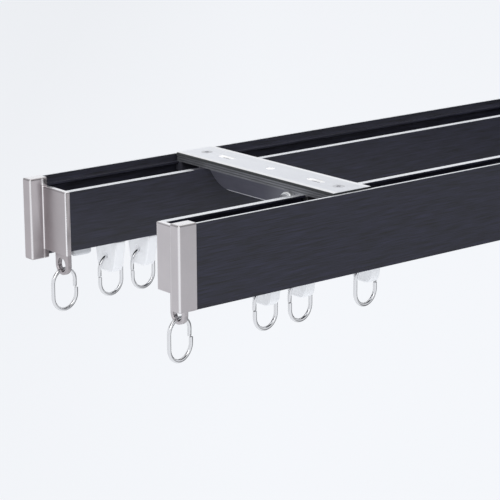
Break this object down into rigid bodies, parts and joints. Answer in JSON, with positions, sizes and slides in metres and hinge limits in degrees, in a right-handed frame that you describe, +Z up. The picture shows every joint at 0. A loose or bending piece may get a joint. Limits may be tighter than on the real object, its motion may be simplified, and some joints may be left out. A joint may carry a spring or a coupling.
{
  "type": "curtain track",
  "caption": "Twin ceiling curtain track: black rails side by side, metal end caps with hanging rings, wheeled gliders with rings, and ceiling brackets with cam-locked jaws.",
  "frame": {"origin": "middle of the left bracket's top face, which lies on the ceiling", "axes": "+X along the tracks to the right, +Y from the front track to the rear one, +Z up to the ceiling"},
  "size_m": [0.6, 0.1648, 0.0911],
  "materials": {
    "rail": "brushed black anodised",
    "cap": "satin nickel on a zinc casting",
    "stop": "moulded nylon",
    "plate": "satin zinc plated",
    "screw": "zinc plated",
    "beam": "dark anodised",
    "jaw": "zinc plated",
    "knob": "satin nickel",
    "glider": "white nylon",
    "wheel": "white acetal",
    "ring": "bright chrome wire"
  },
  "bodies": {
    "fixed_parts": {"front_rail": "rail", "rear_rail": "rail", "end_cap_front_left": "cap", "end_stop_front_left": "stop", "end_cap_front_right": "cap", "end_stop_front_right": "stop", "end_cap_rear_left": "cap", "end_stop_rear_left": "stop", "end_cap_rear_right": "cap", "end_stop_rear_right": "stop", "bracket_left_plate": "plate", "bracket_left_screws": "screw", "bracket_left_beam": "beam", "bracket_right_plate": "plate", "bracket_right_screws": "screw", "bracket_right_beam": "beam"},
    "cap_ring_front_left": {"cap_ring_front_left": "ring"},
    "cap_ring_front_right": {"cap_ring_front_right": "ring"},
    "cap_ring_rear_left": {"cap_ring_rear_left": "ring"},
    "cap_ring_rear_right": {"cap_ring_rear_right": "ring"},
    "glider_front_1": {"glider_front_1": "glider"},
    "wheels_front_1": {"wheels_front_1": "wheel"},
    "ring_front_1": {"ring_front_1": "ring"},
    "glider_front_2": {"glider_front_2": "glider"},
    "wheels_front_2": {"wheels_front_2": "wheel"},
    "ring_front_2": {"ring_front_2": "ring"},
    "glider_front_3": {"glider_front_3": "glider"},
    "wheels_front_3": {"wheels_front_3": "wheel"},
    "ring_front_3": {"ring_front_3": "ring"},
    "glider_front_4": {"glider_front_4": "glider"},
    "wheels_front_4": {"wheels_front_4": "wheel"},
    "ring_front_4": {"ring_front_4": "ring"},
    "glider_rear_1": {"glider_rear_1": "glider"},
    "wheels_rear_1": {"wheels_rear_1": "wheel"},
    "ring_rear_1": {"ring_rear_1": "ring"},
    "glider_rear_2": {"glider_rear_2": "glider"},
    "wheels_rear_2": {"wheels_rear_2": "wheel"},
    "ring_rear_2": {"ring_rear_2": "ring"},
    "glider_rear_3": {"glider_rear_3": "glider"},
    "wheels_rear_3": {"wheels_rear_3": "wheel"},
    "ring_rear_3": {"ring_rear_3": "ring"},
    "glider_rear_4": {"glider_rear_4": "glider"},
    "wheels_rear_4": {"wheels_rear_4": "wheel"},
    "ring_rear_4": {"ring_rear_4": "ring"},
    "bracket_left_jaw_front": {"bracket_left_jaw_front": "jaw"},
    "bracket_left_knob_front": {"bracket_left_knob_front": "knob"},
    "bracket_left_jaw_rear": {"bracket_left_jaw_rear": "jaw"},
    "bracket_left_knob_rear": {"bracket_left_knob_rear": "knob"},
    "bracket_right_jaw_front": {"bracket_right_jaw_front": "jaw"},
    "bracket_right_knob_front": {"bracket_right_knob_front": "knob"},
    "bracket_right_jaw_rear": {"bracket_right_jaw_rear": "jaw"},
    "bracket_right_knob_rear": {"bracket_right_knob_rear": "knob"}
  },
  "joints": [
    {"name": "cap_ring_front_left_swing", "type": "hinge", "parent": "fixed_parts", "child": "cap_ring_front_left", "pos_m": [-0.1204, -0.0612, -0.0604], "axis": [1, 0, 0], "range_deg": [-60, 60]},
    {"name": "cap_ring_front_right_swing", "type": "hinge", "parent": "fixed_parts", "child": "cap_ring_front_right", "pos_m": [0.4484, -0.0612, -0.0604], "axis": [1, 0, 0], "range_deg": [-60, 60]},
    {"name": "cap_ring_rear_left_swing", "type": "hinge", "parent": "fixed_parts", "child": "cap_ring_rear_left", "pos_m": [-0.1204, 0.0612, -0.056], "axis": [1, 0, 0], "range_deg": [-60, 60]},
    {"name": "cap_ring_rear_right_swing", "type": "hinge", "parent": "fixed_parts", "child": "cap_ring_rear_right", "pos_m": [0.4484, 0.0612, -0.056], "axis": [1, 0, 0], "range_deg": [-60, 60]},
    {"name": "glider_front_1_slide", "type": "slide", "parent": "fixed_parts", "child": "glider_front_1", "axis": [1, 0, 0], "range_m": [-0.0356, 0.0035]},
    {"name": "wheels_front_1_roll", "type": "hinge", "parent": "glider_front_1", "child": "wheels_front_1", "pos_m": [-0.0552, -0.062, -0.03855], "axis": [0, 1, 0], "continuous": true},
    {"name": "ring_front_1_swing", "type": "hinge", "parent": "glider_front_1", "child": "ring_front_1", "pos_m": [-0.0552, -0.062, -0.05666], "axis": [1, 0, 0], "range_deg": [-60, 60]},
    {"name": "glider_front_2_slide", "type": "slide", "parent": "fixed_parts", "child": "glider_front_2", "axis": [1, 0, 0], "range_m": [-0.0035, 0.0167]},
    {"name": "wheels_front_2_roll", "type": "hinge", "parent": "glider_front_2", "child": "wheels_front_2", "pos_m": [-0.0272, -0.062, -0.03855], "axis": [0, 1, 0], "continuous": true},
    {"name": "ring_front_2_swing", "type": "hinge", "parent": "glider_front_2", "child": "ring_front_2", "pos_m": [-0.0272, -0.062, -0.05666], "axis": [1, 0, 0], "range_deg": [-60, 60]},
    {"name": "glider_front_3_slide", "type": "slide", "parent": "fixed_parts", "child": "glider_front_3", "axis": [1, 0, 0], "range_m": [-0.0167, 0.1229]},
    {"name": "wheels_front_3_roll", "type": "hinge", "parent": "glider_front_3", "child": "wheels_front_3", "pos_m": [0.0272, -0.062, -0.03855], "axis": [0, 1, 0], "continuous": true},
    {"name": "ring_front_3_swing", "type": "hinge", "parent": "glider_front_3", "child": "ring_front_3", "pos_m": [0.0272, -0.062, -0.05666], "axis": [1, 0, 0], "range_deg": [-60, 60]},
    {"name": "glider_front_4_slide", "type": "slide", "parent": "fixed_parts", "child": "glider_front_4", "axis": [1, 0, 0], "range_m": [-0.1229, 0.1248]},
    {"name": "wheels_front_4_roll", "type": "hinge", "parent": "glider_front_4", "child": "wheels_front_4", "pos_m": [0.294, -0.062, -0.03855], "axis": [0, 1, 0], "continuous": true},
    {"name": "ring_front_4_swing", "type": "hinge", "parent": "glider_front_4", "child": "ring_front_4", "pos_m": [0.294, -0.062, -0.05666], "axis": [1, 0, 0], "range_deg": [-60, 60]},
    {"name": "glider_rear_1_slide", "type": "slide", "parent": "fixed_parts", "child": "glider_rear_1", "axis": [1, 0, 0], "range_m": [-0.0071, 0.00245]},
    {"name": "wheels_rear_1_roll", "type": "hinge", "parent": "glider_rear_1", "child": "wheels_rear_1", "pos_m": [-0.0837, 0.062, -0.03855], "axis": [0, 1, 0], "continuous": true},
    {"name": "ring_rear_1_swing", "type": "hinge", "parent": "glider_rear_1", "child": "ring_rear_1", "pos_m": [-0.0837, 0.062, -0.05666], "axis": [1, 0, 0], "range_deg": [-60, 60]},
    {"name": "glider_rear_2_slide", "type": "slide", "parent": "fixed_parts", "child": "glider_rear_2", "axis": [1, 0, 0], "range_m": [-0.00245, 0.1004]},
    {"name": "wheels_rear_2_roll", "type": "hinge", "parent": "glider_rear_2", "child": "wheels_rear_2", "pos_m": [-0.0578, 0.062, -0.03855], "axis": [0, 1, 0], "continuous": true},
    {"name": "ring_rear_2_swing", "type": "hinge", "parent": "glider_rear_2", "child": "ring_rear_2", "pos_m": [-0.0578, 0.062, -0.05666], "axis": [1, 0, 0], "range_deg": [-60, 60]},
    {"name": "glider_rear_3_slide", "type": "slide", "parent": "fixed_parts", "child": "glider_rear_3", "axis": [1, 0, 0], "range_m": [-0.1004, 0.0745]},
    {"name": "wheels_rear_3_roll", "type": "hinge", "parent": "glider_rear_3", "child": "wheels_rear_3", "pos_m": [0.164, 0.062, -0.03855], "axis": [0, 1, 0], "continuous": true},
    {"name": "ring_rear_3_swing", "type": "hinge", "parent": "glider_rear_3", "child": "ring_rear_3", "pos_m": [0.164, 0.062, -0.05666], "axis": [1, 0, 0], "range_deg": [-60, 60]},
    {"name": "glider_rear_4_slide", "type": "slide", "parent": "fixed_parts", "child": "glider_rear_4", "axis": [1, 0, 0], "range_m": [-0.0745, 0.0848]},
    {"name": "wheels_rear_4_roll", "type": "hinge", "parent": "glider_rear_4", "child": "wheels_rear_4", "pos_m": [0.334, 0.062, -0.03855], "axis": [0, 1, 0], "continuous": true},
    {"name": "ring_rear_4_swing", "type": "hinge", "parent": "glider_rear_4", "child": "ring_rear_4", "pos_m": [0.334, 0.062, -0.05666], "axis": [1, 0, 0], "range_deg": [-60, 60]},
    {"name": "bracket_left_knob_front_turn", "type": "hinge", "parent": "fixed_parts", "child": "bracket_left_knob_front", "pos_m": [0, -0.0394, -0.012], "axis": [-1, 0, 0], "range_deg": [0, 180]},
    {"name": "bracket_left_jaw_front_slide", "type": "slide", "parent": "fixed_parts", "child": "bracket_left_jaw_front", "axis": [0, -1, 0], "range_m": [0, 0.003]},
    {"name": "bracket_left_knob_rear_turn", "type": "hinge", "parent": "fixed_parts", "child": "bracket_left_knob_rear", "pos_m": [0, 0.0394, -0.012], "axis": [1, 0, 0], "range_deg": [0, 180]},
    {"name": "bracket_left_jaw_rear_slide", "type": "slide", "parent": "fixed_parts", "child": "bracket_left_jaw_rear", "axis": [0, 1, 0], "range_m": [0, 0.003]},
    {"name": "bracket_right_knob_front_turn", "type": "hinge", "parent": "fixed_parts", "child": "bracket_right_knob_front", "pos_m": [0.328, -0.0394, -0.012], "axis": [-1, 0, 0], "range_deg": [0, 180]},
    {"name": "bracket_right_jaw_front_slide", "type": "slide", "parent": "fixed_parts", "child": "bracket_right_jaw_front", "axis": [0, -1, 0], "range_m": [0, 0.003]},
    {"name": "bracket_right_knob_rear_turn", "type": "hinge", "parent": "fixed_parts", "child": "bracket_right_knob_rear", "pos_m": [0.328, 0.0394, -0.012], "axis": [1, 0, 0], "range_deg": [0, 180]},
    {"name": "bracket_right_jaw_rear_slide", "type": "slide", "parent": "fixed_parts", "child": "bracket_right_jaw_rear", "axis": [0, 1, 0], "range_m": [0, 0.003]}
  ],
  "couplings": [
    {"joint": "bracket_left_jaw_front_slide", "follows": "bracket_left_knob_front_turn", "m_per_rad": 0.00095493},
    {"joint": "bracket_left_jaw_rear_slide", "follows": "bracket_left_knob_rear_turn", "m_per_rad": 0.00095493},
    {"joint": "bracket_right_jaw_front_slide", "follows": "bracket_right_knob_front_turn", "m_per_rad": 0.00095493},
    {"joint": "bracket_right_jaw_rear_slide", "follows": "bracket_right_knob_rear_turn", "m_per_rad": 0.00095493}
  ]
}
